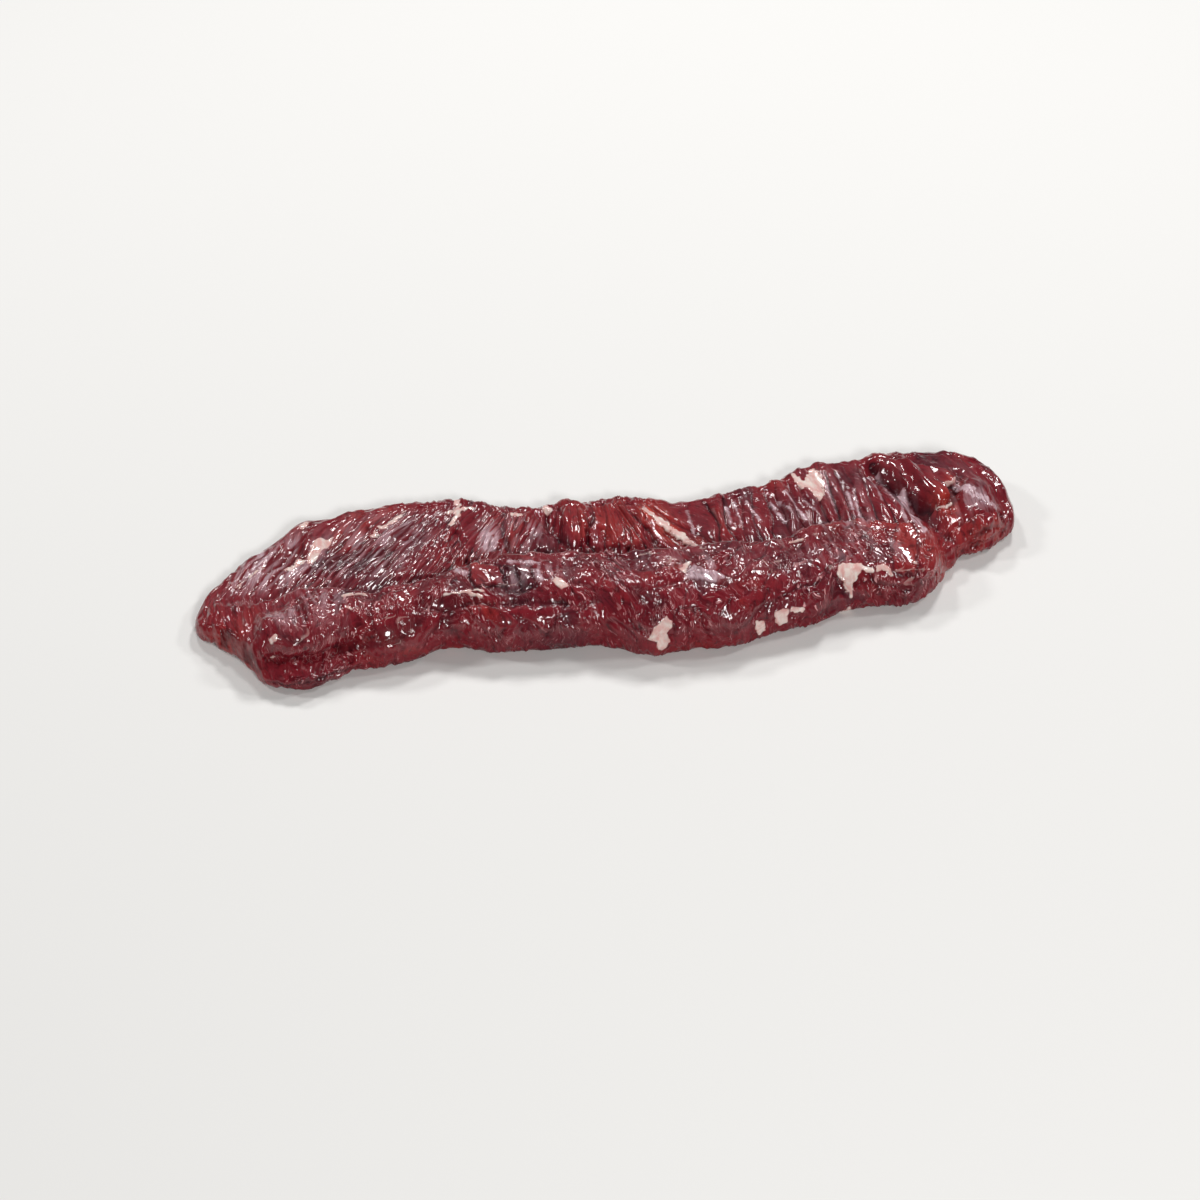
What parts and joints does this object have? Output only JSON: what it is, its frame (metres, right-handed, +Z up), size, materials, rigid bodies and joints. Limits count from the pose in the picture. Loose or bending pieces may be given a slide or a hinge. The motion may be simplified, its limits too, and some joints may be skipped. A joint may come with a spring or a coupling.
{
  "type": "raw beef flank",
  "caption": "Long flat raw beef cut, folded lengthwise, with coarse fibres running across it and a flat underside.",
  "frame": {"origin": "centre of the bounding box in plan, on the flat underside", "axes": "+X along the cut, towards its thick rounded end; +Y across the cut, away from the folded front edge; +Z up"},
  "size_m": [0.341, 0.1042, 0.0253],
  "materials": {
    "raw_beef": "moist raw beef: dark red muscle in coarse bundles, silvery membrane sheen and a few cream fat patches"
  },
  "bodies": {
    "root": {"beef_flank": "raw_beef"}
  },
  "joints": []
}
